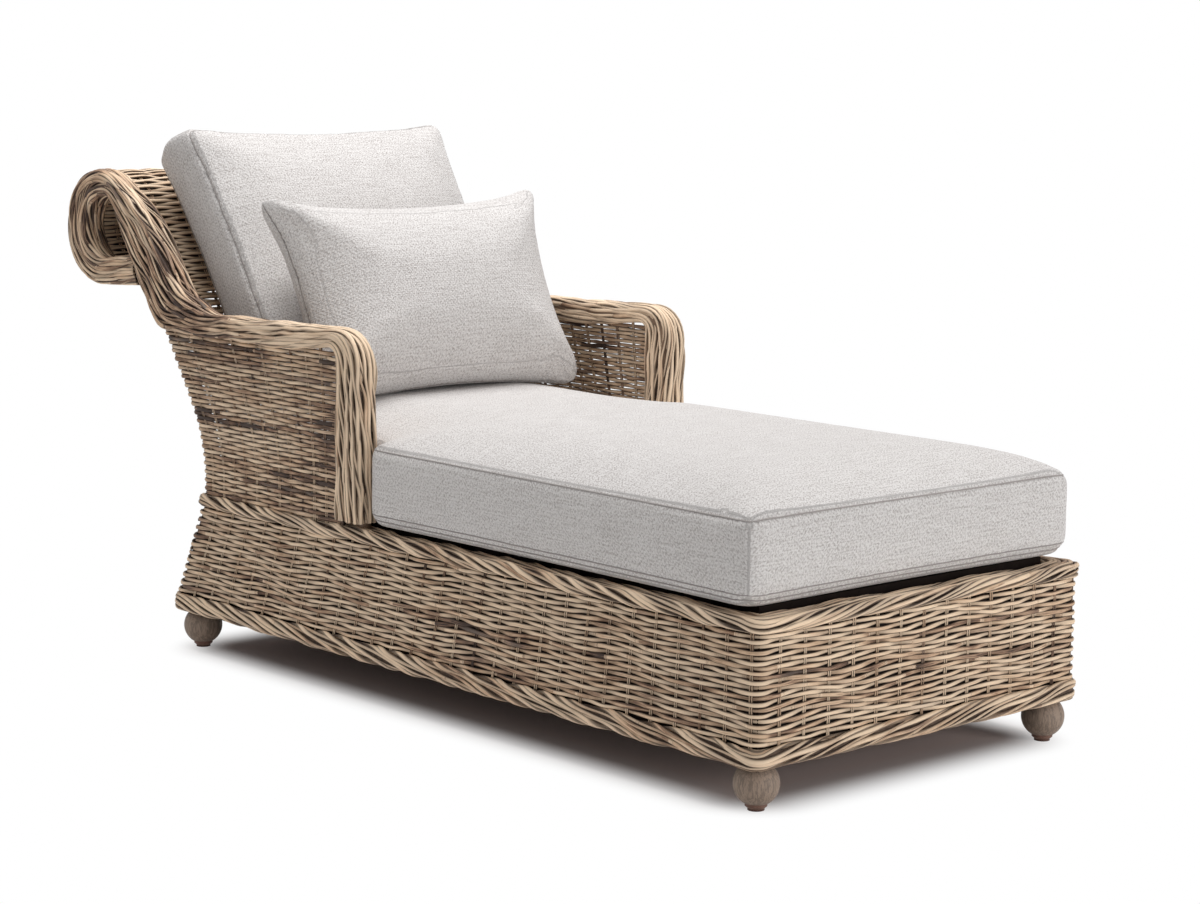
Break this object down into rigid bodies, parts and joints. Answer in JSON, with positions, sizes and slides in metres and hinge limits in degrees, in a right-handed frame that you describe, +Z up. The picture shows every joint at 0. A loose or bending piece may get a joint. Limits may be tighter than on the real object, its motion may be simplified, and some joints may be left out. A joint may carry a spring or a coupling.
{
  "type": "sun lounger",
  "caption": "Woven rattan chaise: box base on bun feet, low arms, a back that curls into a scroll, and loose seat, back and lumbar cushions that lift off.",
  "frame": {"origin": "on the floor, under the middle of the bounding box", "axes": "+Z up, +Y towards the scroll at the head end, -Y the foot end, -X the left side and +X the right side for someone who stands at the foot end and looks at the back"},
  "size_m": [0.772, 1.89, 0.9638],
  "materials": {
    "woven_rattan": "unvarnished grey-brown rattan core, plain weave of thin strands",
    "plaited_rattan": "unvarnished grey-tan rattan core, long strands laid side by side and plaited",
    "rattan_pole": "peeled rattan pole",
    "frame_wood": "planed hardwood, stained dark brown so that it doesn't show through the weave",
    "foot_wood": "turned, grey-brown weathered stain",
    "glide": "dull brown",
    "steel": "zinc plated",
    "cushion_fabric": "heathered greige linen weave with slubs",
    "cushion_filling": "polyester and foam pad"
  },
  "bodies": {
    "frame": {"back_rods": "rattan_pole", "back_weave": "woven_rattan", "base_weave_front": "woven_rattan", "base_weave_left": "woven_rattan", "base_weave_rear": "woven_rattan", "base_weave_right": "woven_rattan", "centre_beam": "frame_wood", "foot_bolts": "steel", "foot_glides": "glide", "foot_nuts": "steel", "frame_screws": "steel", "front_bottom_border": "plaited_rattan", "front_bottom_rail": "frame_wood", "front_left_foot": "foot_wood", "front_left_post": "frame_wood", "front_right_foot": "foot_wood", "front_right_post": "frame_wood", "front_top_border": "plaited_rattan", "front_top_rail": "frame_wood", "left_arm_braid": "plaited_rattan", "left_arm_pole": "rattan_pole", "left_arm_weave": "woven_rattan", "left_back_braid": "plaited_rattan", "left_back_post": "rattan_pole", "left_bottom_border": "plaited_rattan", "left_bottom_rail": "frame_wood", "left_mid_posts": "frame_wood", "left_slat_ledger": "frame_wood", "left_top_border": "plaited_rattan", "left_top_rail": "frame_wood", "rear_bottom_border": "plaited_rattan", "rear_bottom_rail": "frame_wood", "rear_left_foot": "foot_wood", "rear_left_post": "frame_wood", "rear_right_foot": "foot_wood", "rear_right_post": "frame_wood", "rear_top_border": "plaited_rattan", "rear_top_rail": "frame_wood", "right_arm_braid": "plaited_rattan", "right_arm_pole": "rattan_pole", "right_arm_weave": "woven_rattan", "right_back_braid": "plaited_rattan", "right_back_post": "rattan_pole", "right_bottom_border": "plaited_rattan", "right_bottom_rail": "frame_wood", "right_mid_posts": "frame_wood", "right_slat_ledger": "frame_wood", "right_top_border": "plaited_rattan", "right_top_rail": "frame_wood", "scroll_lining": "woven_rattan", "scroll_weave": "woven_rattan", "seat_slats": "frame_wood", "slat_screws": "steel"},
    "seat_cushion_body": {"seat_cushion": "cushion_fabric", "seat_cushion_core": "cushion_filling"},
    "back_cushion_body": {"back_cushion": "cushion_fabric", "back_cushion_core": "cushion_filling"},
    "lumbar_pillow_body": {"lumbar_pillow": "cushion_fabric", "lumbar_pillow_core": "cushion_filling"}
  },
  "joints": [
    {"name": "seat_cushion_lift", "type": "slide", "parent": "frame", "child": "seat_cushion_body", "axis": [0, 0, 1], "range_m": [0, 0.25]},
    {"name": "back_cushion_lift", "type": "slide", "parent": "seat_cushion_body", "child": "back_cushion_body", "axis": [0, 0, 1], "range_m": [0, 0.3]},
    {"name": "lumbar_pillow_lift", "type": "slide", "parent": "back_cushion_body", "child": "lumbar_pillow_body", "axis": [0, 0, 1], "range_m": [0, 0.3]}
  ]
}
